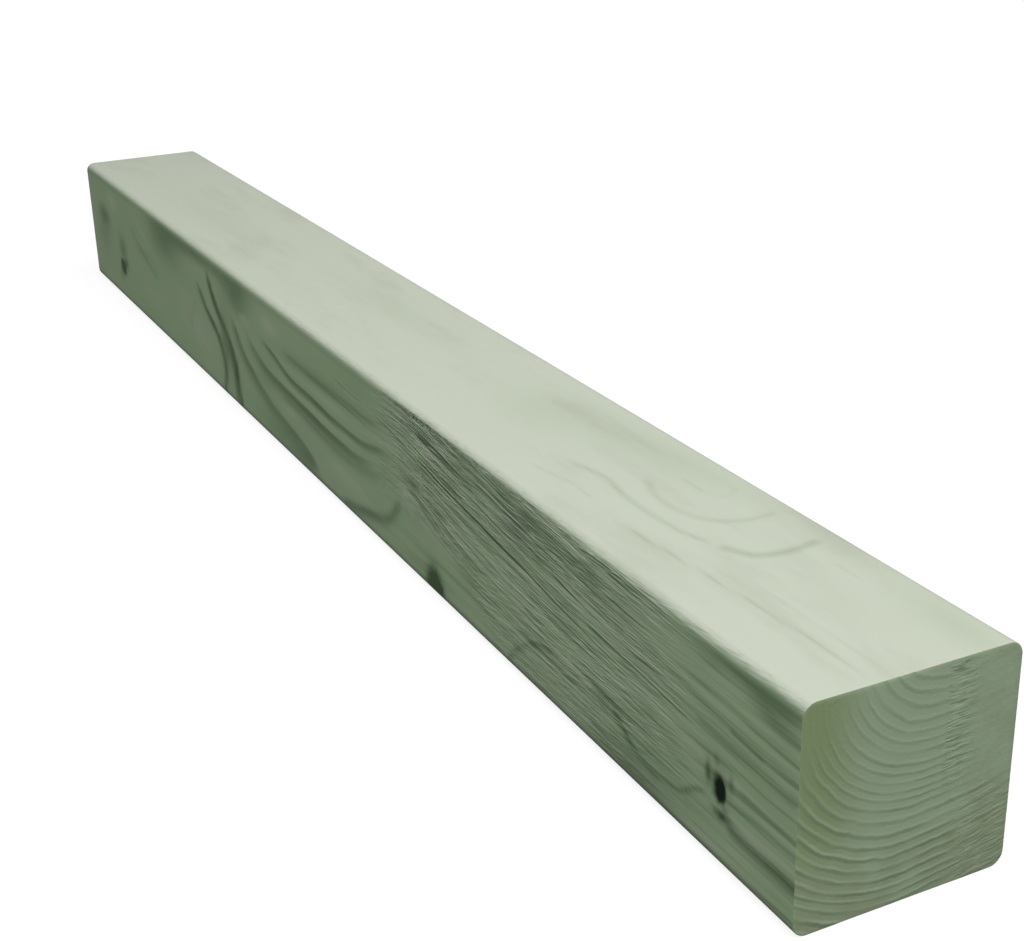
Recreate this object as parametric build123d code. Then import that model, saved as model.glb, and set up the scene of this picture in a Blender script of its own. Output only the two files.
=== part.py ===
"""Square timber: one length of softwood, planed on all four sides with rounded arrises and sawn square ends.

The timber lies on one of its planed faces. X runs along the grain, Y across, Z up.
The origin is the middle of the face that it lies on. Units are millimetres.
"""

import os

from build123d import *

# Driving dimensions
SECTION = 95.0  # planed width and height, which are equal
LENGTH = 1000.0  # from sawn end to sawn end
ARRIS_RADIUS = 6.0  # rounding of the four long edges; the sawn ends stay sharp


def planed_section():
    """The timber's cross-section: a square that sits on Z = 0, with its four corners rounded by the planer."""
    across_the_grain = Plane(origin=(0, 0, SECTION / 2), x_dir=(0, 1, 0), z_dir=(1, 0, 0))
    return across_the_grain * RectangleRounded(SECTION, SECTION, ARRIS_RADIUS)


def square_timber():
    """The section run along the grain, half of the length to each side of the origin."""
    return extrude(planed_section(), amount=LENGTH / 2, both=True)


os.makedirs("parts", exist_ok=True)
export_step(square_timber(), "parts/square_timber.step")
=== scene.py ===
"""Looks of the square timber: a length of planed, green pressure-treated softwood lying on a white floor.

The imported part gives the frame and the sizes. The same timber is made again here with its growth rings,
knots, raised fibres and sawn ends, in the same place: X along the grain, Y across it, Z up.
"""

import math

import bmesh
import bpy
import numpy as np
from mathutils import Matrix, Vector, noise


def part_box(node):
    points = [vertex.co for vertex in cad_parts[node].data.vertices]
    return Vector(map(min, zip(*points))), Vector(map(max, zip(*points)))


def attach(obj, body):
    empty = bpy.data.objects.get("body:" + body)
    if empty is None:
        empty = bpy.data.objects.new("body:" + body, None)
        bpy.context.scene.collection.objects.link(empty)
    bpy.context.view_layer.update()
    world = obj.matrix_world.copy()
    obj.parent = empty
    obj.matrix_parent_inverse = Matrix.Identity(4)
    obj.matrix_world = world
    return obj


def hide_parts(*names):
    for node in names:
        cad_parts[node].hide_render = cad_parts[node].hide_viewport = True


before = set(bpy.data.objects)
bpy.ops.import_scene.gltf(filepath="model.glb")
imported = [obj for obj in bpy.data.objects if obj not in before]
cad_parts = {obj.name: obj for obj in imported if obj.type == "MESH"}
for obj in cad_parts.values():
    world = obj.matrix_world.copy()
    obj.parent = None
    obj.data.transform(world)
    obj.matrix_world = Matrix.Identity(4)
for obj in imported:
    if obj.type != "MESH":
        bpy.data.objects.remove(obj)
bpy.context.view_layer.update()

# Sizes of the timber, in millimetres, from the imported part
MM = 0.001
box_low, box_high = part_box("square_timber")
LENGTH = (box_high[0] - box_low[0]) / MM
SECTION = (box_high[1] - box_low[1]) / MM
HALF = SECTION / 2
ARRIS, ARRIS_STEPS = 6.0, 8  # rounding of the long edges, and the number of faces round each
RIM = 0.4  # wear on the edges of the sawn ends
SAWN_POINT, SAWN_FACE = 0.7, 0.75  # points and faces that look along the grain by more than this are sawn
CREASE = 25  # edges that turn by more than these degrees look sharp
MERGE_CUT, MERGE_END = 0.05, 0.02  # points nearer than this become one, in cutting and closing the ends
CUT_UP, CUT_ACROSS = 1.0, 2.0  # spacing of the points on the section, up and across
# Spacing of the points along the grain, each up to a distance from the near end; closest at the near knot
CUTS_ALONG = ((36, 2.5), (62, 1.25), (260, 2.5), (720, 5.0), (880, 8.0), (935, 4.0), (LENGTH, 8.0))
FIRST_CUT = 2.0  # the first of them, and the least room before the far end

# The tree. Places are millimetres: along from the near end, across, and height above the floor.
# The pith ran above the top of the timber and wandered a little across.
PITH_COURSE = ((-60, 18, 121), (250, 20, 121), (520, 26, 128), (800, 36, 124), (1060, 34, 122))
PITH_SMOOTH = 90
DRIFT = (-0.336, -0.66)  # the tree grew faster on the lower left, so each ring's middle lies off the pith
FLAT_FROM, FLAT_EASE, FLAT_SHARE = 8, 6, 0.45  # right of here the rings keep this share of their roundness
# Heights at which the rings cross the near end, on an upright line near its middle, and go on below it
END_LINE = 2.5
RINGS_ON_END = (98, 92, 86, 80.5, 74.5, 70, 66, 62, 57, 53.5, 50, 46.5, 43.5, 40, 35, 30, 25.5, 21,
                16.5, 12.5, 8, 5, 1.5, -3, -8, -14, -21, -29, -38)
RING_WOBBLE, WOBBLE_SIZE = 0.12, (60, 9, 9)  # how far the rings wander, in rings, and over which lengths
YEAR_LINE = (-0.35, -0.05, 0.06, 0.2)  # within a ring: its dark line starts, is full, is still full, and ends
PLAIN_RINGS = 0.35  # how strongly the rings show on the right side and the underside

# Lines of growth on the side: darkness (paler below zero), half width above and below, and points as
# (along, height). First the loop and the soft lines near the end, then the boat-shaped rings, then the two
# dark rings beyond.
SIDE_LINES = (
    (0.60, 2.0, 3.0, ((228, 0), (217, 13), (209, 18.5), (201, 23), (194, 26.8), (186, 29), (174, 30))),
    (0.30, 1.6, 3.0, ((192, 27.5), (172, 29.5), (150, 29.5), (132, 29), (122, 27))),
    (0.75, 1.4, 3.5, ((130, 29), (124, 27), (118.5, 24.5), (113.5, 20.5), (106, 18.5), (97.5, 17.5),
                      (86, 18))),
    (0.65, 1.2, 2.4, ((100, 17.5), (87.5, 18), (77.5, 18.5), (72, 21), (68, 24.5), (62, 28), (54, 30))),
    (0.75, 2.4, 6.0, ((46, 25), (30, 23), (15, 22.5), (-8, 22.5))),
    (0.20, 0.9, 1.6, ((80, 17), (50, 16), (-5, 15))),
    (0.60, 0.9, 1.0, ((44, 63.5), (34, 63), (26, 62.5), (18, 62))),
    (0.45, 1.6, 1.8, ((70, 57.5), (55, 56.5), (41, 56), (20, 55), (-5, 54))),
    (0.35, 2.4, 2.4, ((126, 46.5), (112, 44), (100, 41), (86, 39), (70, 37))),
    (0.40, 2.0, 2.0, ((38, 42), (26, 41.5), (12, 40.5), (-5, 40))),
    (0.50, 1.2, 1.6, ((350, 64), (332, 63.5), (318, 62.5))),
    (0.45, 1.4, 2.0, ((345, 54), (330, 53.3), (320, 52), (304, 50), (284, 48))),
    (0.75, 1.3, 4.0, ((574, 67), (554, 65), (536, 61), (516, 56), (500, 54.5), (464, 53.7), (440, 52.5),
                      (420, 52.5), (400, 53), (384, 55), (368, 58.5), (350, 62.5))),
    (-0.30, 2.2, 2.2, ((552, 70), (520, 61.5), (500, 59.5), (460, 59), (420, 58.5), (390, 59.5), (355, 66))),
    (0.62, 1.6, 8.0, ((602, 69), (590, 62), (582, 56), (568, 51.5), (554, 47.5), (530, 46), (500, 44.5),
                      (475, 43), (460, 42), (440, 41.5), (420, 41.5), (405, 42), (394, 43.5), (370, 48))),
    (0.45, 3.0, 5.0, ((545, 41), (520, 39.5), (490, 38), (465, 36), (440, 35), (415, 35.5), (395, 37.5),
                      (360, 44))),
    (-0.25, 2.0, 2.0, ((550, 52), (520, 50), (500, 49), (460, 47.5), (420, 47.5), (375, 52))),
    (0.45, 1.8, 3.2, ((530, 69), (490, 68.5), (468, 68), (440, 68), (408, 69), (390, 69), (360, 72))),
    (0.60, 2.4, 10.0, ((632, 70), (614, 59), (604, 48), (590, 40), (570, 32), (550, 26), (520, 22), (496, 19),
                       (480, 15), (470, 10), (464, 0))),
    (0.60, 3.5, 5.0, ((440, 5), (420, 8), (400, 12), (380, 16), (368, 19), (360, 24), (351, 32), (344, 44))),
    (0.80, 2.8, 5.0, ((702, 72), (687, 62.5), (680, 56), (667, 49), (653, 42), (645, 31), (643, 21),
                      (646, 10), (656, -18))),
    (0.95, 3.2, 5.5, ((674, 88), (667, 79), (662, 70), (653, 61.5), (639, 52), (628, 43), (620, 35),
                      (618, 24), (616, 14), (609, -18))),
    (0.70, 7.0, 7.0, ((636, 46), (625, 34), (622, 24), (621, 14), (615, -10))),
    (0.25, 2.5, 2.5, ((698, 54), (708, 50), (714, 43), (718, 35), (721, 26), (722, 12))),
    (-0.35, 3.0, 3.0, ((860, 81), (833, 71), (805, 60), (780, 50))),
    (0.35, 3.0, 4.0, ((878, 71), (844, 58), (822, 50), (795, 45))),
)
# Thin sharp lines among the raised fibres of the side, painted dark for the shade under a lifted fibre, each
# with a painted highlight just above it: darkness, (along, height) points
HAIR_LINES = (
    (0.9, ((332, 71), (309, 68.3), (288, 65.2), (266, 63.7), (232, 60.6), (201, 57.5), (160, 53.5),
           (142, 52))),
    (0.7, ((322, 80), (305, 77), (289, 74.5), (254, 71.4), (229, 68.3), (205, 67.5))),
    (0.9, ((184, 67.5), (174, 66.8), (158, 65), (136, 62.5), (112, 61.6), (96, 62), (78, 62.5))),
    (0.8, ((154, 58.5), (125, 56.5), (100, 55.4), (85, 54), (64, 53))),
    (0.7, ((155, 79.5), (130, 78), (115, 77), (96, 76.5))),
    (0.6, ((345, 90.5), (300, 87), (266, 83), (232, 79), (186, 76))),
    (0.6, ((272, 48.6), (245, 46.8), (228, 45), (212, 43.7), (188, 43.5))),
    (0.6, ((344, 86), (310, 83.5), (290, 82), (262, 78.5))),
    (0.5, ((300, 91), (255, 86), (215, 81))),
    (0.6, ((158, 85), (128, 83.5), (96, 82))),
    (0.5, ((152, 74.8), (120, 73), (86, 71))),
    (0.6, ((204, 50), (175, 48.5), (138, 46))),
    (0.5, ((446, 67), (425, 66.2), (410, 66), (384, 64.5))),
    (0.4, ((436, 78.5), (415, 77), (390, 77))),
    (0.5, ((378, 75.5), (355, 74), (332, 71))),
    (0.5, ((156, 37), (140, 36.5), (118, 36))),
)
HAIR_EDGE = (1.2, 2.2)  # distance from a thin line at which its trace on the points ends
# Lines on the top, as (along, across) points; the last three run on where the top is plain
TOP_LINES = (
    (0.30, 2.2, 2.2, ((236, -13), (213, -9.5), (204, -7.5), (196, -8), (182, -10.5), (164, -11), (142, -10),
                      (131, -7.7), (120, -4), (113, -1.5))),
    (0.34, 3.4, 3.4, ((122, -4.7), (109, 0), (102.5, 4.5), (100, 15), (101, 27), (104, 38))),
    (0.26, 2.8, 2.8, ((200, 9), (189, 5.7), (176, 1.2), (160, 0), (147, 3.4), (138, 9), (133, 20), (133, 32),
                      (137, 42))),
    (0.24, 1.4, 1.4, ((188, 22), (175, 20.5), (163, 21.5))),
    (0.16, 2.0, 2.0, ((168, 21), (158, 25), (158, 31), (168, 36))),
    (0.28, 1.2, 1.2, ((-8, -16.5), (31, -17.7), (64, -19.4), (98, -22), (124, -24.3), (156, -27),
                      (172, -26))),
    (0.22, 1.4, 1.4, ((180, -25), (200, -22.5), (213, -25), (236, -29))),
    (0.18, 1.4, 1.4, ((-8, -7.7), (25, -9.5), (47, -10.5), (64, -9.5), (92, -12))),
    (0.18, 0.9, 0.9, ((84, 27), (64, 26.8))),
    (0.12, 1.6, 1.6, ((250, -20), (450, -24), (600, -22), (760, -26), (1010, -24))),
    (0.10, 2.0, 2.0, ((240, 6), (520, 8), (700, 4), (1010, 9))),
    (0.10, 1.6, 1.6, ((210, 29), (480, 30), (640, 25), (820, 31), (1010, 29))),
)
LINE_FADE = 0.14  # share of a line's length over which each of its ends fades
LINE_WAVER, WAVER_SIZE = 0.6, (35, 5, 5)  # how far the lines waver, and over which lengths

# Knots: along, across, height, half length along the grain, half width round it, depth of the dish, how
# black the middle is and how much the wood around it is stained
KNOTS = (
    (48.6, -HALF, 34, 5.4, 7.8, 0.9, 1.0, 0.85),
    (306, -HALF, 3, 12, 16.5, 0.0, 0.0, 0.9),
    (907, -HALF, 29.5, 9, 7.5, 0.0, 0.0, 0.95),
)
# In shares of a knot: where its stain starts to fade and how softly, and where its dish rises
STAIN_FROM, STAIN_FADE, DISH_RISE = 0.4, 0.6, (0.6, 1.05)
KNOT_PUSH, KNOT_CORE, KNOT_REACH = 0.8, 0.6, 8  # how a knot bends the rings: how far, how sharply, how widely
# Dark soft flecks beside the knots of the side: along, height, half length, half height, darkness
FLECKS = (
    (48.5, 35, 9, 13, 0.4), (55.5, 38.5, 2.8, 6.5, 0.65), (50, 46.5, 3.0, 3.5, 0.45),
    (40.5, 41, 2.4, 5.0, 0.5), (46, 24.5, 8, 3.2, 0.7), (45, 28, 4, 2.4, 0.5), (299, 7, 5, 5, 1.0),
    (897, 34, 8, 6, 0.6), (903, 45, 14, 14, 0.42), (914, 22, 8, 6, 0.4), (619, 24, 8, 15, 0.4),
)
# Patches on the side where the treatment soaked in, or where little took (below zero):
# along, height, half length, half height, strength
PATCHES = (
    (14, 84, 16, 8, 0.9), (45, 89, 40, 4, 0.6), (112, 9, 36, 9, 0.65), (205, 80, 30, 12, 0.9),
    (280, 84, 40, 8, 0.5), (328, 53, 8, 4, 0.5), (326, 38, 7, 5, 0.4), (450, 68, 85, 6, 0.55),
    (606, 80, 28, 14, 0.65), (536, 12, 46, 10, 0.45), (492, 9, 22, 7, 0.4), (775, 77, 46, 17, 0.65),
    (690, 89, 110, 8, 0.6), (640, 40, 15, 28, 0.6), (952, 63, 20, 9, 0.6), (960, 45, 26, 18, 0.4),
    (840, 55, 40, 6, 0.3), (400, 84, 40, 8, 0.25), (560, 38, 40, 5, 0.3),
    (545, 77, 22, 9, -0.5), (430, 23, 40, 7, -0.35), (520, 33, 28, 5, -0.35), (593, 69, 8, 3, -0.5),
    (925, 77, 18, 11, -0.45), (272, 48, 50, 10, -0.3), (110, 70, 45, 9, -0.3), (30, 11, 36, 5, -0.3),
    (700, 30, 22, 16, -0.25), (450, 61, 70, 2.5, -0.45), (795, 25, 75, 18, -0.28),
)
# The same on the top, with a place across instead of a height
TOP_PATCHES = ((215, 25, 60, 16, 0.24), (18, 32, 40, 14, 0.22), (290, 8, 50, 30, 0.2), (55, 8, 35, 10, 0.14),
               (120, 40, 90, 10, 0.18), (480, 12, 120, 14, 0.2), (760, -10, 130, 18, 0.2))
# Fibres lifted by the planer on the near part of the side, which rise away from the near end
FIBRE_RISE, RISE_TO, RISE_ABOVE = 0.0002, 340, (15, 55)
CRINKLE, CRINKLE_SIZE = 0.45, (26, 8, 8)  # how far the fibres wander to and fro, and over which lengths
RAISED_FROM, RAISED_TO, RAISED_ABOVE = (35, 140), (310, 400), (5, 40)
RAISED_LUMPS = (90, 14, 14)  # size of the stretches where more or fewer of them stand up
SMOOTH_FROM, SMOOTH_BELOW, SMOOTH_EASE = (215, 290), 36, 10  # from here on the side's lower part is smooth
STREAKS_TO = (260, 460)  # soft streaks along the grain fade out here
# Distances from the plane of a side, the top and the underside over which that face gives way to the next
SIDE_FADE, TOP_FADE, UNDER_FADE = (2, 7), (0.7, 3), (1, 5)
SIDE_ENDS, UNDER_FROM = (90.5, 93.5), (4, 9)  # the side's upper limit, and the underside's left one
# Part of the sawn end where the fibres tore: from and to across, from below, and in from the edge
TORN_FROM, TORN_TO, TORN_ABOVE, TORN_INSIDE = (14, 16), (19, 32), (38, 50), (0, 4)
# Depths of the relief: between the lines of growth, the planer's waves, the lifted fibres; then, on the
# sawn ends, between the rings, the torn strip and the saw's waves; and the sizes of the waves and fibres
LINE_RELIEF, PLANE_WAVE, FIBRE_LIFT = 0.06, 0.10, 0.35
RING_RELIEF, TEAR_DEPTH, SAW_WAVE = 0.03, 0.04, 0.10
PLANE_SIZE, LIFT_SIZE, TEAR_SIZE, SAW_SIZE = (180, 35, 35), (60, 3.4, 3.4), (4, 9, 4), (4, 15, 11)


def smooth_step(low, high, value):
    """0 below low, 1 above high, and a smooth rise between."""
    share = np.clip((value - low) / (high - low), 0.0, 1.0)
    return share * share * (3.0 - 2.0 * share)


def noise_at(places, size):
    """Even noise from -1 to 1 whose lumps have the given size in millimetres along, across and up."""
    return np.array([noise.noise(Vector(p)) for p in places / np.array(size)])


def pith_place(along):
    """Where the pith runs across and up, drawn smoothly through its course."""
    stops = np.array(PITH_COURSE, float)
    reach = np.linspace(-PITH_SMOOTH, PITH_SMOOTH, 9)
    return [np.mean([np.interp(along + r, stops[:, 0], stops[:, k]) for r in reach], axis=0) for k in (1, 2)]


def ring_radius(along, across, height):
    """Radius of the ring through each place, for rings whose middles drift away from the pith."""
    pith_across, pith_height = pith_place(along)
    past = across - FLAT_FROM
    flattened = across - (1 - FLAT_SHARE) * (past + np.hypot(past, FLAT_EASE)) / 2
    out, up = flattened - pith_across, height - pith_height
    lean = out * DRIFT[0] + up * DRIFT[1]
    left = 1.0 - DRIFT[0] ** 2 - DRIFT[1] ** 2
    return (np.sqrt(lean ** 2 + left * (out ** 2 + up ** 2)) - lean) / left


def ring_number(along, across, height):
    """Number of the ring through each place, counted outwards; whole on the dark line that ends a year."""
    heights = np.array(RINGS_ON_END, float)
    marks = ring_radius(np.zeros_like(heights), np.full_like(heights, END_LINE), heights)
    return np.interp(ring_radius(along, across, height), marks, np.arange(len(heights)))


def year_line(rings):
    """How dark the wood is within each ring: a slow rise to the line and a quick fall past it."""
    turn = rings + 0.5 - np.floor(rings + 0.5) - 0.5
    first, full, still, last = YEAR_LINE
    return smooth_step(first, full, turn) * (1.0 - smooth_step(still, last, turn))


def rounded_course(points):
    """A line's points with their corners cut off twice, so that it bends smoothly; its ends stay."""
    course = np.array(points, float)
    for _ in range(2):
        early = 0.75 * course[:-1] + 0.25 * course[1:]
        late = 0.25 * course[:-1] + 0.75 * course[1:]
        inner = np.stack((early, late), axis=1).reshape(-1, 2)
        course = np.vstack((course[:1], inner, course[-1:]))
    return course


def near_line(points, reach, along, across):
    """Which places are near a line, how far below it each is (negative above it), and its fading ends.

    Below is meant for lines drawn towards the near end. The others are as wide above as below.
    """
    course = rounded_course(points)
    low, high = course.min(axis=0) - reach, course.max(axis=0) + reach
    near = np.nonzero((along > low[0]) & (along < high[0]) & (across > low[1]) & (across < high[1]))[0]
    here = np.c_[along[near], across[near]]
    steps = np.diff(course, axis=0)
    lengths = np.hypot(*steps.T)
    passed = np.cumsum(lengths) - lengths
    below, reached = np.full(len(near), np.inf), np.zeros(len(near))
    for start, step, length, before in zip(course[:-1], steps, lengths, passed):
        offset = here - start
        share = np.clip(offset @ step / length ** 2, 0, 1)
        gap = np.hypot(*(offset - share[:, None] * step).T)
        hand = np.where(step[0] * offset[:, 1] - step[1] * offset[:, 0] < 0, -1, 1)
        closer = gap < abs(below)
        below[closer] = (gap * hand)[closer]
        reached[closer] = (before + share[closer] * length) / lengths.sum()
    ends = smooth_step(0, LINE_FADE, reached) * smooth_step(0, LINE_FADE, 1 - reached)
    return near, below, ends


def drawn_lines(lines, along, across):
    """Darkness that a face's lines of growth give each place, soft beside a line and at its ends."""
    total = np.zeros(len(along))
    for darkness, half_above, half_below, points in lines:
        near, below, ends = near_line(points, 3 * half_below, along, across)
        share = np.where(below > 0, below / half_below, below / half_above)
        drawn = darkness * np.exp(-share ** 2) * ends
        total[near] = np.where(abs(drawn) > abs(total[near]), drawn, total[near])
    return total


def hair_lines(along, height):
    """How far below the nearest thin line each place is, and how dark that line is there."""
    gap, dark = np.full(len(along), HAIR_EDGE[1]), np.zeros(len(along))
    for darkness, points in HAIR_LINES:
        near, below, ends = near_line(points, HAIR_EDGE[1], along, height)
        closer = abs(below) < abs(gap[near])
        gap[near[closer]] = below[closer]
        dark[near[closer]] = (darkness * ends * (1 - smooth_step(*HAIR_EDGE, abs(below))))[closer]
    return gap, dark


def knot_gaps(along, across, height):
    """For each knot, how far off its middle each place is, as a share of the knot."""
    return [np.sqrt(((along - k[0]) / k[3]) ** 2 + ((across - k[1]) ** 2 + (height - k[2]) ** 2) / k[4] ** 2)
            for k in KNOTS]


def growth(places):
    """What grew or soaked into the wood at each place of the surface, as values that the materials read."""
    along, across, height = LENGTH / 2 - places[:, 0], places[:, 1], places[:, 2]
    side = (1 - smooth_step(*SIDE_FADE, across + HALF)) * (1 - smooth_step(*SIDE_ENDS, height))
    top = 1 - smooth_step(*TOP_FADE, SECTION - height)
    right = 1 - smooth_step(*SIDE_FADE, HALF - across)
    under = (1 - smooth_step(*UNDER_FADE, height)) * smooth_step(*UNDER_FROM, across + HALF)

    knot, stain = np.zeros(len(places)), np.zeros(len(places))
    bent = places[:, 1:].copy()
    for (_, middle_across, middle_height, _, _, _, black, stained), gap in zip(
            KNOTS, knot_gaps(along, across, height)):
        knot = np.maximum(knot, black * (1 - gap))
        stain = np.maximum(stain, stained * np.exp(-(np.maximum(gap - STAIN_FROM, 0) / STAIN_FADE) ** 2))
        push = KNOT_PUSH / (gap ** 2 + KNOT_CORE) * np.exp(-gap ** 2 / KNOT_REACH)
        bent -= (places[:, 1:] - np.array((middle_across, middle_height))) * push[:, None]
    for middle_along, middle_height, half_long, half_high, darkness in FLECKS:
        gap = ((along - middle_along) / half_long) ** 2 + ((height - middle_height) / half_high) ** 2
        stain = np.maximum(stain, side * darkness * np.exp(-gap))
    soaked = np.zeros(len(places))
    for face, level, patches in ((side, height, PATCHES), (top, across, TOP_PATCHES)):
        for middle_along, middle, half_long, half_wide, strength in patches:
            gap = ((along - middle_along) / half_long) ** 2 + ((level - middle) / half_wide) ** 2
            soaked = soaked + face * strength * np.exp(-gap)

    rings = ring_number(along, *bent.T) + RING_WOBBLE * noise_at(places, WOBBLE_SIZE)
    ringed = PLAIN_RINGS * np.maximum(right, under) * (1 - top)
    waver = LINE_WAVER * noise_at(places, WAVER_SIZE)
    lines = side * drawn_lines(SIDE_LINES, along, height + waver)
    lines = lines + top * drawn_lines(TOP_LINES, along, across + waver)
    hair_gap, hair = hair_lines(along, height + waver)

    rise = FIBRE_RISE * np.clip(along, 0, RISE_TO) ** 2 * side * smooth_step(*RISE_ABOVE, height)
    fibre = np.c_[along, across, height - rise + CRINKLE * noise_at(places, CRINKLE_SIZE)]
    raised = smooth_step(*RAISED_FROM, along) * (1 - smooth_step(*RAISED_TO, along)) * side
    raised = raised * (0.5 + 0.5 * smooth_step(*RAISED_ABOVE, height))
    smooth_below = SMOOTH_BELOW * smooth_step(*SMOOTH_FROM, along)
    raised = raised * smooth_step(-SMOOTH_EASE, SMOOTH_EASE, height - smooth_below)
    raised = raised * (0.8 + 0.5 * noise_at(fibre, RAISED_LUMPS))
    streaky = (1 - 0.4 * smooth_step(*RAISED_FROM, along)) * (1 - smooth_step(*STREAKS_TO, along)) * side
    return {"rings": rings, "ringed": ringed, "lines": lines, "hair_gap": hair_gap, "hair": hair * side,
            "knot": knot, "stain": stain, "soaked": soaked, "raised": raised, "streaky": streaky,
            "fibre": fibre}


def cuts_along():
    """Distances from the near end at which the body has points."""
    along = [FIRST_CUT]
    for end, spacing in CUTS_ALONG:
        while along[-1] + spacing < min(end, LENGTH - FIRST_CUT):
            along.append(along[-1] + spacing)
    return along


def timber_body():
    """One closed body: a sawn end cut into small faces, drawn along the grain, closed by the other end."""
    bm = bmesh.new()
    upright = Matrix.Translation((LENGTH / 2, 0, HALF)) @ Matrix.Rotation(math.radians(90), 4, "Y")
    bmesh.ops.create_grid(bm, x_segments=1, y_segments=1, size=HALF - RIM, matrix=upright)
    bmesh.ops.bevel(bm, geom=bm.verts[:], offset=ARRIS, offset_type="OFFSET", segments=ARRIS_STEPS,
                    profile=0.5, affect="VERTICES", material=-1)
    for spacing, normal in ((CUT_UP, (0, 0, 1)), (CUT_ACROSS, (0, 1, 0))):
        for n in range(1, int(SECTION / spacing)):
            place = Vector((0, -HALF, 0)) + Vector(normal) * spacing * n
            whole_end = bm.verts[:] + bm.edges[:] + bm.faces[:]
            bmesh.ops.bisect_plane(bm, geom=whole_end, dist=MERGE_CUT, plane_co=place, plane_no=normal)
    loop = [e for e in bm.edges if e.is_boundary]
    other_end = bmesh.ops.duplicate(bm, geom=bm.verts[:] + bm.edges[:] + bm.faces[:])["geom"]
    other_points = [g for g in other_end if isinstance(g, bmesh.types.BMVert)]
    bmesh.ops.translate(bm, verts=other_points, vec=(-LENGTH, 0, 0))

    rim_turn = RIM * (1 - math.sqrt(0.5))
    course = [(rim_turn, HALF - rim_turn), (RIM, HALF)] + [(along, HALF) for along in cuts_along()]
    course += [(LENGTH - RIM, HALF), (LENGTH - rim_turn, HALF - rim_turn), (LENGTH, HALF - RIM)]
    before, wide = 0.0, HALF - RIM
    middle = Matrix.Translation((0, 0, -HALF))
    for along, half_width in course:
        made = bmesh.ops.extrude_edge_only(bm, edges=loop)["geom"]
        ring = [g for g in made if isinstance(g, bmesh.types.BMVert)]
        loop = [g for g in made if isinstance(g, bmesh.types.BMEdge) and g.is_boundary]
        bmesh.ops.translate(bm, verts=ring, vec=(before - along, 0, 0))
        grow = half_width / wide
        bmesh.ops.scale(bm, verts=ring, vec=(1, grow, grow), space=middle)
        before, wide = along, half_width
    bmesh.ops.remove_doubles(bm, verts=bm.verts[:], dist=MERGE_END)
    bmesh.ops.recalc_face_normals(bm, faces=bm.faces[:])
    return bm


def relief(places, normals, wood):
    """Depth below the planed and sawn surfaces, in millimetres."""
    along, across, height = LENGTH / 2 - places[:, 0], places[:, 1], places[:, 2]
    planed = LINE_RELIEF * (1 - np.maximum(wood["lines"], 0))
    planed = planed + PLANE_WAVE * (0.5 + 0.5 * noise_at(places, PLANE_SIZE))
    planed = planed + FIBRE_LIFT * wood["raised"] * (0.5 + 0.5 * noise_at(wood["fibre"], LIFT_SIZE))

    torn = smooth_step(*TORN_FROM, across) * (1 - smooth_step(*TORN_TO, across))
    torn = torn * smooth_step(*TORN_ABOVE, height)
    torn = torn * smooth_step(*TORN_INSIDE, HALF - np.maximum(abs(across), abs(height - HALF)))
    sawn = RING_RELIEF * (1 - year_line(wood["rings"]))
    sawn = sawn + TEAR_DEPTH * torn * (0.5 + 0.5 * noise_at(places, TEAR_SIZE))
    sawn = sawn + SAW_WAVE * (0.5 + 0.5 * noise_at(places, SAW_SIZE))
    depth = np.where(abs(normals[:, 0]) > SAWN_POINT, sawn, planed)
    for k, gap in zip(KNOTS, knot_gaps(along, across, height)):
        depth = depth + k[5] * (1 - smooth_step(*DISH_RISE, gap))
    return depth


def linear(code):
    """A colour written as sRGB hex, as the linear values that shaders take."""
    parts = [int(code[n:n + 2], 16) / 255 for n in (1, 3, 5)]
    return [p / 12.92 if p <= 0.04045 else ((p + 0.055) / 1.055) ** 2.4 for p in parts] + [1.0]


def add(tree, kind, settings=None, links=None):
    """Adds one node, with its settings or plain input values, and links to its inputs."""
    node = tree.nodes.new("ShaderNode" + kind)
    for name, value in (settings or {}).items():
        if isinstance(name, str) and hasattr(node, name):
            setattr(node, name, value)
        else:
            node.inputs[name].default_value = value
    for name, socket in (links or {}).items():
        tree.links.new(socket, node.inputs[name])
    return node


def new_material(name):
    """An empty material made of nodes."""
    material = bpy.data.materials.new(name)
    material.use_nodes = True
    material.node_tree.nodes.clear()
    return material


# Mix nodes keep their colour sockets at these places
MIX_A, MIX_B, MIX_OUT = 6, 7, 2


def lay(tree, surface, layers):
    """Lays colours over a surface: each one's driver, from and to, strength at most, place and colour."""
    for driver, low, high, most, where, code in layers:
        share = add(tree, "MapRange", {"interpolation_type": "SMOOTHSTEP", "From Min": low, "From Max": high,
                                       "To Max": most}, {"Value": driver})
        links = {0: share.outputs[0]} if where is None else {0: share.outputs[0], 1: where}
        masked = add(tree, "Math", {"operation": "MULTIPLY", "use_clamp": True, 1: 1.0}, links)
        laid = add(tree, "Mix", {"data_type": "RGBA", MIX_B: linear(code)},
                   {0: masked.outputs[0], MIX_A: surface})
        surface = laid.outputs[MIX_OUT]
    return surface


def band(tree, value, first, full, still, last):
    """A soft band of a value: up from first to full, and down from still to last."""
    sides = [add(tree, "MapRange", {"interpolation_type": "SMOOTHSTEP", "From Min": low, "From Max": high},
                 {"Value": value}).outputs[0]
             for low, high in ((first, full), (last, still))]
    return add(tree, "Math", {"operation": "MULTIPLY"}, dict(enumerate(sides))).outputs[0]


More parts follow.
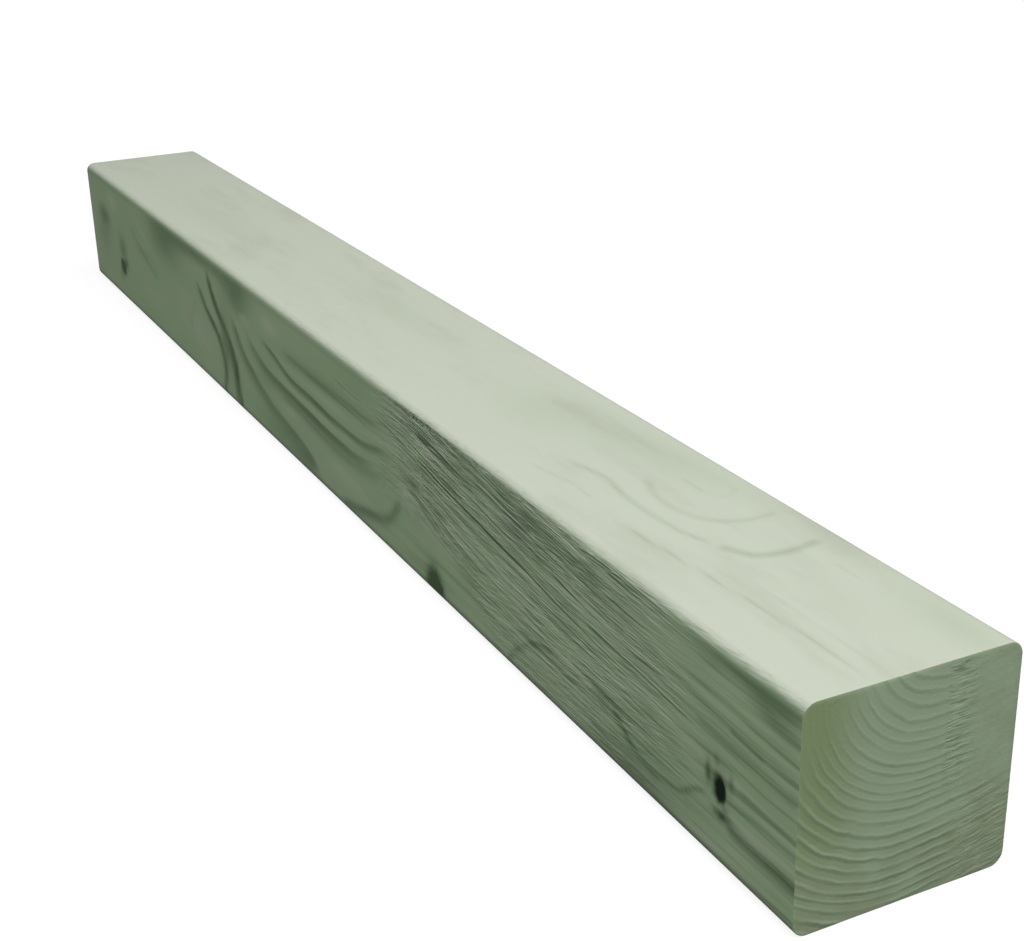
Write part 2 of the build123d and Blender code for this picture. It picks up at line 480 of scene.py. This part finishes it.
def planed_softwood():
    """Pressure-treated softwood, planed: grey-green early wood, darker lines of summerwood, blackened knots,
    and fibres that the planer lifted, with painted highlights and painted shade for their relief. The top and
    its arrises are painted paler as painted light, the side just below them carries painted shade, and there
    is almost no gloss, since the cut fibres stay open."""
    material = new_material("Treated softwood, planed")
    tree = material.node_tree
    grown = {name: add(tree, "Attribute", {"attribute_name": name}).outputs["Fac"]
             for name in ("rings", "ringed", "lines", "hair_gap", "hair", "knot", "stain", "soaked", "raised",
                          "streaky")}
    fibre = add(tree, "Attribute", {"attribute_name": "fibre"}).outputs["Vector"]
    place = add(tree, "TexCoord").outputs["Object"]
    up = add(tree, "SeparateXYZ", None, {0: place}).outputs["Z"]

    # Patterns: length along the grain and width in millimetres, slant, and how much finer detail they carry
    patterns = {"hairs": (fibre, 60, 0.8, 0.0, 2.0), "bands": (fibre, 90, 3.6, 0.0, 2.5),
                "dashes": (fibre, 15, 0.8, 0.12, 1.0), "clouds": (place, 110, 26, 0.0, 5.0),
                "fraying": (place, 4, 4, 0.0, 3.0)}
    seen = {}
    for name, (course, long, wide, slant, detail) in patterns.items():
        lumps = add(tree, "Mapping", {"vector_type": "TEXTURE", "Scale": (long * MM, wide * MM, wide * MM),
                                      "Rotation": (0.0, slant, 0.0)}, {"Vector": course})
        seen[name] = add(tree, "TexNoise", {"Scale": 1.0, "Detail": detail, "Roughness": 0.6},
                         {"Vector": lumps.outputs[0]}).outputs["Fac"]

    # Painted light: the upper face and its arrises are painted paler and greyer, with a border that follows
    # the fibres. Below it, the side carries painted shade towards its rounded upper edge.
    ragged = add(tree, "Math", {"operation": "MULTIPLY_ADD", 1: 3.5 * MM}, {0: seen["dashes"], 2: up})
    painted_top_light = add(tree, "MapRange", {"interpolation_type": "SMOOTHSTEP", "From Min": (SECTION - 2.5) * MM,
                                   "From Max": (SECTION + 1) * MM}, {"Value": ragged.outputs[0]}).outputs[0]
    warm = add(tree, "MapRange", {"From Min": 0.35, "From Max": 0.65}, {"Value": seen["clouds"]})
    base_wood = add(tree, "Mix", {"data_type": "RGBA", MIX_A: linear("#97B08C"), MIX_B: linear("#A0B292")},
                   {0: warm.outputs[0]}).outputs[MIX_OUT]
    # Painted shade: the side is painted darker over its upper few millimetres, towards the rounded upper
    # edge.
    base_wood = lay(tree, base_wood, ((up, (SECTION - 8) * MM, (SECTION - 3) * MM, 0.75, None, "#66745F"),))
    # Painted light: the top and its arrises are painted a paler grey-green, for the overhead light on them.
    ground = add(tree, "Mix", {"data_type": "RGBA", MIX_B: linear("#B0B6A7")},
                 {0: painted_top_light, MIX_A: base_wood}).outputs[MIX_OUT]

    turn = add(tree, "Math", {"operation": "WRAP", 1: 0.5, 2: -0.5}, {0: grown["rings"]}).outputs[0]
    year = band(tree, turn, *YEAR_LINE)
    uneven = add(tree, "MapRange", {"From Min": 0.3, "From Max": 0.7, "To Min": 0.7, "To Max": 1.3},
                 {"Value": seen["clouds"]}).outputs[0]
    frayed = add(tree, "MapRange", {"From Min": 0.3, "From Max": 0.7, "To Min": 0.8, "To Max": 1.2},
                 {"Value": seen["fraying"]}).outputs[0]
    ragged_knot = add(tree, "Math", {"operation": "MULTIPLY_ADD", 1: 0.4},
                      {0: seen["fraying"], 2: grown["knot"]})
    broken = add(tree, "MapRange", {"From Min": 0.35, "From Max": 0.6, "To Min": 0.2, "To Max": 1.0},
                 {"Value": seen["bands"]}).outputs[0]
    hair = add(tree, "Math", {"operation": "MULTIPLY"}, {0: grown["hair"], 1: broken}).outputs[0]
    line_gap = add(tree, "Math", {"operation": "ABSOLUTE"}, {0: grown["hair_gap"]}).outputs[0]
    above_line = add(tree, "Math", {"operation": "ADD", 1: 1.1}, {0: grown["hair_gap"]})
    glint_gap = add(tree, "Math", {"operation": "ABSOLUTE"}, {0: above_line.outputs[0]}).outputs[0]

    surface = lay(tree, ground, (
        (seen["clouds"], 0.5, 0.75, 0.5, painted_top_light, "#A3A596"),
        (year, 0.0, 1.0, 1.0, grown["ringed"], "#5F7557"),
        (grown["lines"], 0.0, 1.0, 1.0, uneven, "#586D4F"),
        (grown["lines"], 0.0, -1.0, 1.0, uneven, "#B9C5AD"),
        (grown["soaked"], 0.0, 1.0, 0.95, uneven, "#687E5F"),
        (grown["soaked"], 0.0, -1.0, 0.95, uneven, "#BAC6AE"),
        (seen["bands"], 0.5, 0.7, 0.6, grown["streaky"], "#647A5B"),
        (seen["bands"], 0.5, 0.33, 0.45, grown["streaky"], "#B3C0A8"),
        # The lifted fibres' pale and dark streaks and dashes: partly their own tone, partly painted
        # highlights and painted shade of their relief.
        (seen["hairs"], 0.48, 0.36, 0.75, grown["raised"], "#4A5C43"),
        (seen["hairs"], 0.51, 0.63, 0.8, grown["raised"], "#BAC5AE"),
        (seen["dashes"], 0.55, 0.67, 0.55, grown["raised"], "#C3CDB8"),
        (seen["dashes"], 0.46, 0.34, 0.35, grown["raised"], "#4F6247"),
        # Painted shade and painted highlight: a dark thin line under each lifted fibre, and a pale line 1.1
        # mm above it.
        (line_gap, 0.9, 0.2, 1.0, hair, "#3F5138"),
        (glint_gap, 0.7, 0.1, 0.7, hair, "#C6D0BB"),
        (up, 8.5 * MM, 3.5 * MM, 0.45, uneven, "#666A5E"),
        (grown["stain"], 0.0, 1.0, 1.2, frayed, "#485A3F"),
        (ragged_knot.outputs[0], 0.31, 0.72, 1.0, None, "#10190E"),
    ))

    lift = add(tree, "Math", {"operation": "MULTIPLY"}, {0: seen["hairs"], 1: grown["raised"]})
    lifted = add(tree, "Bump", {"Strength": 1.0, "Distance": 1.0 * MM}, {"Height": lift.outputs[0]})
    rough = add(tree, "Math", {"operation": "MULTIPLY"}, {0: seen["dashes"], 1: grown["raised"]})
    bump = add(tree, "Bump", {"Strength": 1.0, "Distance": 0.5 * MM},
               {"Height": rough.outputs[0], "Normal": lifted.outputs[0]})
    shader = add(tree, "BsdfPrincipled", {"Roughness": 0.65, "IOR": 1.5, "Specular IOR Level": 0.02},
                 {"Base Color": surface, "Normal": bump.outputs[0]})
    add(tree, "OutputMaterial", None, {"Surface": shader.outputs[0]})
    return material


def sawn_end_grain():
    """End grain of treated softwood, sawn: matt open pores, soft ring lines with a painted highlight on their
    inner edge, olive towards the outside of the tree, and a rough strip where the saw tore the fibres, its
    dashes partly painted shade and painted highlights."""
    material = new_material("Treated softwood end grain, sawn")
    tree = material.node_tree
    rings = add(tree, "Attribute", {"attribute_name": "rings"}).outputs["Fac"]
    place = add(tree, "TexCoord").outputs["Object"]
    parts = add(tree, "SeparateXYZ", None, {0: place})
    across, up = parts.outputs["Y"], parts.outputs["Z"]

    noises = {}
    for name, size, detail in (("wobble", 8, 3.0), ("clouds", 24, 3.0), ("pores", 1.3, 3.0)):
        noises[name] = add(tree, "TexNoise", {"Scale": 1 / (size * MM), "Detail": detail, "Roughness": 0.6},
                           {"Vector": place}).outputs["Fac"]
    wobbled = add(tree, "Math", {"operation": "MULTIPLY_ADD", 1: 0.4},
                  {0: noises["wobble"], 2: rings}).outputs[0]
    turn = add(tree, "Math", {"operation": "WRAP", 1: 0.65, 2: -0.35}, {0: wobbled}).outputs[0]
    # Noise drawn out along the rings: by its reach across in millimetres, and its lumps in a ring
    for name, reach, often, detail in (("patchy", 26, 0.8, 2.0), ("dashes", 8, 3.6, 1.0)):
        far = add(tree, "Math", {"operation": "MULTIPLY", 1: 1 / (reach * MM)}, {0: across}).outputs[0]
        count = add(tree, "Math", {"operation": "MULTIPLY", 1: often}, {0: wobbled}).outputs[0]
        course = add(tree, "CombineXYZ", None, {0: far, 1: count}).outputs[0]
        noises[name] = add(tree, "TexNoise", {"Scale": 1.0, "Detail": detail, "Roughness": 0.5},
                           {"Vector": course}).outputs["Fac"]

    # Parts of the end, each by a place from and to, and a value from and to
    diagonal = add(tree, "Math", {"operation": "SUBTRACT"}, {0: up, 1: across}).outputs[0]
    ramps = {"torn_from": (across, *TORN_FROM, 0, 1), "torn_to": (across, *TORN_TO, 1, 0),
             "torn_above": (up, *TORN_ABOVE, 0, 1), "worn_right": (across, 22, 32, 0, 1),
             "worn_above": (up, 32, 46, 0, 1), "rough_right": (across, 14, 28, 0, 1),
             "rough_below": (up, 46, 32, 0, 0.7), "outer": (across, -14, -40, 0, 1),
             "raised": (up, 15, 45, 0.4, 1), "low": (up, 34, 18, 0, 1), "deepened": (up, 70, 15, 0.75, 1.3),
             "plain_corner": (diagonal, 98, 122, 1, 0.12)}
    part = {name: add(tree, "MapRange", {"interpolation_type": "SMOOTHSTEP", "From Min": low * MM,
                                         "From Max": high * MM, "To Min": start, "To Max": end},
                      {"Value": source}).outputs[0]
            for name, (source, low, high, start, end) in ramps.items()}
    for name, one, other in (("strip", "torn_from", "torn_to"), ("torn", "strip", "torn_above"),
                             ("worn", "worn_right", "worn_above"), ("rough", "rough_right", "rough_below"),
                             ("olive", "outer", "raised")):
        part[name] = add(tree, "Math", {"operation": "MULTIPLY"}, {0: part[one], 1: part[other]}).outputs[0]
    tearing = add(tree, "Math", {"operation": "MAXIMUM"}, {0: part["torn"], 1: part["rough"]}).outputs[0]
    gone = add(tree, "Math", {"operation": "MAXIMUM"}, {0: part["worn"], 1: part["rough"]}).outputs[0]
    kept = add(tree, "MapRange", {"To Min": 1.0, "To Max": 0.12}, {"Value": gone}).outputs[0]
    strong = add(tree, "MapRange", {"From Min": 0.35, "From Max": 0.65, "To Min": 0.25, "To Max": 1.0},
                 {"Value": noises["patchy"]}).outputs[0]
    clear = add(tree, "Math", {"operation": "MULTIPLY"}, {0: part["plain_corner"], 1: kept}).outputs[0]
    clearer = add(tree, "Math", {"operation": "MULTIPLY"}, {0: clear, 1: part["deepened"]}).outputs[0]
    shown = add(tree, "Math", {"operation": "MULTIPLY"}, {0: clearer, 1: strong}).outputs[0]

    # Lines within a ring: dark where a year ends, with a painted highlight on the inner side for the lit edge
    # of the raised summerwood
    edges = {"dark": band(tree, turn, -0.05, 0.18, 0.24, 0.5),
             "pale": band(tree, turn, -0.33, -0.1, -0.04, 0.12)}

    ground = add(tree, "Mix", {"data_type": "RGBA", MIX_A: linear("#9DB093"), MIX_B: linear("#8A9C73")},
                 {0: part["olive"]}).outputs[MIX_OUT]
    surface = lay(tree, ground, (
        (noises["clouds"], 0.3, 0.6, 0.6, part["low"], "#8F987A"),
        (noises["clouds"], 0.65, 0.35, 0.7, part["worn_right"], "#929C80"),
        (edges["dark"], 0.0, 1.0, 0.65, shown, "#728568"),
        # Painted highlight: the pale edge of each ring line.
        (edges["pale"], 0.0, 1.0, 0.45, shown, "#B0C1A6"),
        # The torn strip's dashes: partly the torn fibres' own tone, partly painted shade and painted
        # highlights.
        (noises["dashes"], 0.48, 0.34, 0.55, tearing, "#63755A"),
        (noises["dashes"], 0.54, 0.68, 0.45, tearing, "#B6C6AC"),
    ))
    tear_height = add(tree, "Math", {"operation": "MULTIPLY"}, {0: noises["dashes"], 1: tearing})
    tear_bump = add(tree, "Bump", {"Strength": 1.0, "Distance": 0.4 * MM}, {"Height": tear_height.outputs[0]})
    bump = add(tree, "Bump", {"Strength": 0.6, "Distance": 0.25 * MM},
               {"Height": noises["pores"], "Normal": tear_bump.outputs[0]})
    shader = add(tree, "BsdfPrincipled", {"Roughness": 0.8, "IOR": 1.5, "Specular IOR Level": 0.08},
                 {"Base Color": surface, "Normal": bump.outputs[0]})
    add(tree, "OutputMaterial", None, {"Surface": shader.outputs[0]})
    return material


def planed_timber():
    """The finished timber: body, relief, growth stored on its points, and its two surfaces."""
    bm = timber_body()
    bm.normal_update()
    places = np.array([v.co for v in bm.verts])
    normals = np.array([v.normal for v in bm.verts])
    wood = growth(places)
    depth = relief(places, normals, wood)
    for v, step in zip(bm.verts, normals * depth[:, None]):
        v.co -= Vector(step)
    for f in bm.faces:
        f.material_index = 1 if abs(f.normal.x) > SAWN_FACE else 0
        f.smooth = True
    for e in bm.edges:
        e.smooth = e.calc_face_angle(0.0) < math.radians(CREASE)
    bmesh.ops.scale(bm, verts=bm.verts[:], vec=(MM, MM, MM))
    mesh = bpy.data.meshes.new("planed_timber")
    bm.to_mesh(mesh)
    bm.free()
    fibre = (wood.pop("fibre") * MM).astype(np.float32)
    mesh.attributes.new("fibre", "FLOAT_VECTOR", "POINT").data.foreach_set("vector", fibre.ravel())
    for name, values in wood.items():
        mesh.attributes.new(name, "FLOAT", "POINT").data.foreach_set("value", values.astype(np.float32))
    mesh.materials.append(planed_softwood())
    mesh.materials.append(sawn_end_grain())
    piece = bpy.data.objects.new("planed_timber", mesh)
    bpy.context.scene.collection.objects.link(piece)
    return piece


def seen_by_eye(tree):
    """1 on rays to the eye, straight, by reflection or through glass; 0 on rays that carry light."""
    path = add(tree, "LightPath")
    straight = add(tree, "Math", {"operation": "MAXIMUM"},
                   {0: path.outputs["Is Camera Ray"], 1: path.outputs["Is Glossy Ray"]})
    return add(tree, "Math", {"operation": "MAXIMUM"},
               {0: straight.outputs[0], 1: path.outputs["Is Transmission Ray"]}).outputs[0]


# The studio, in metres and watts. The floor is a little less than white near the timber, to keep its shadow.
FLOOR_HALF = 20.0
DIM_WITHIN, WHITE_BEYOND, DIM_WHITE = 0.6, 1.8, 0.86
LAMP_PLACE, LAMP_AIM, LAMP_SIDE, LAMP_WATTS = (1.0, -0.3, 2.2), (0.2, 0.0, 0.05), 3.0, 100.0
ROOM_LIGHT = 0.15


def white_floor():
    """A wide floor that glows white to the eye, keeps the timber's soft shadow and throws little light."""
    bm = bmesh.new()
    bmesh.ops.create_grid(bm, x_segments=1, y_segments=1, size=FLOOR_HALF)
    mesh = bpy.data.meshes.new("studio_floor")
    bm.to_mesh(mesh)
    bm.free()
    material = new_material("White studio floor, matt")
    tree = material.node_tree
    place = add(tree, "TexCoord")
    away = add(tree, "VectorMath", {"operation": "LENGTH"}, {0: place.outputs["Object"]})
    white = add(tree, "MapRange", {"interpolation_type": "SMOOTHSTEP", "From Min": DIM_WITHIN,
                                   "From Max": WHITE_BEYOND, "To Min": DIM_WHITE, "To Max": 1.0},
                {"Value": away.outputs["Value"]})
    glow_level = add(tree, "Math", {"operation": "MULTIPLY"}, {0: seen_by_eye(tree), 1: white.outputs[0]})
    glow = add(tree, "Emission", {"Color": linear("#FFFFFF")}, {"Strength": glow_level.outputs[0]})
    matt = add(tree, "BsdfDiffuse", {"Color": linear("#707070")})
    both = add(tree, "AddShader", None, {0: glow.outputs[0], 1: matt.outputs[0]})
    add(tree, "OutputMaterial", None, {"Surface": both.outputs[0]})
    mesh.materials.append(material)
    floor = bpy.data.objects.new("studio_floor", mesh)
    bpy.context.scene.collection.objects.link(floor)


def softbox(name, place, aim, side, watts):
    """A soft square lamp at a place, turned to face a point."""
    lamp = bpy.data.lights.new(name, "AREA")
    lamp.shape = "SQUARE"
    lamp.size = side
    lamp.energy = watts
    box = bpy.data.objects.new(name, lamp)
    turn = (Vector(aim) - Vector(place)).to_track_quat("-Z", "Y").to_matrix().to_4x4()
    box.matrix_world = Matrix.Translation(place) @ turn
    bpy.context.scene.collection.objects.link(box)


def studio_light():
    """A broad softbox overhead, a little towards the near end and the side that shows; a dim white room."""
    softbox("overhead_softbox", LAMP_PLACE, LAMP_AIM, LAMP_SIDE, LAMP_WATTS)
    world = bpy.data.worlds.new("white room")
    world.use_nodes = True
    tree = world.node_tree
    tree.nodes.clear()
    level = add(tree, "MapRange", {"To Min": ROOM_LIGHT, "To Max": 1.0}, {"Value": seen_by_eye(tree)})
    room = add(tree, "Background", {"Color": linear("#FFFFFF")}, {"Strength": level.outputs[0]})
    add(tree, "OutputWorld", None, {"Surface": room.outputs[0]})
    bpy.context.scene.world = world


# The eye: where the photograph was taken from, fitted to the timber's edges, in metres and degrees
EYE = Vector((0.8912, -0.3420, 0.3804))
LOOK_ROUND, LOOK_DOWN, LOOK_ROLL = 64.05, 22.45, 1.64
LENS, SENSOR = 58.99, 36.0


def camera():
    """The camera at the eye, turned round, tilted down and rolled."""
    turned, tilted, rolled = (math.radians(d) for d in (LOOK_ROUND, LOOK_DOWN, LOOK_ROLL))
    ahead = Vector((-math.sin(turned) * math.cos(tilted), math.cos(turned) * math.cos(tilted),
                    -math.sin(tilted)))
    level = Vector((math.cos(turned), math.sin(turned), 0.0))
    below = ahead.cross(level)
    right = math.cos(rolled) * level + math.sin(rolled) * below
    up = math.sin(rolled) * level - math.cos(rolled) * below
    lens = bpy.data.cameras.new("eye")
    lens.lens = LENS
    lens.sensor_width = SENSOR
    lens.clip_start = 0.01
    eye = bpy.data.objects.new("eye", lens)
    eye.matrix_world = Matrix.Translation(EYE) @ Matrix((right, up, -ahead)).transposed().to_4x4()
    bpy.context.scene.collection.objects.link(eye)
    bpy.context.scene.camera = eye


timber = planed_timber()
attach(timber, "root")
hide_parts("square_timber")
white_floor()
studio_light()
camera()
bpy.context.scene.view_settings.view_transform = "Standard"
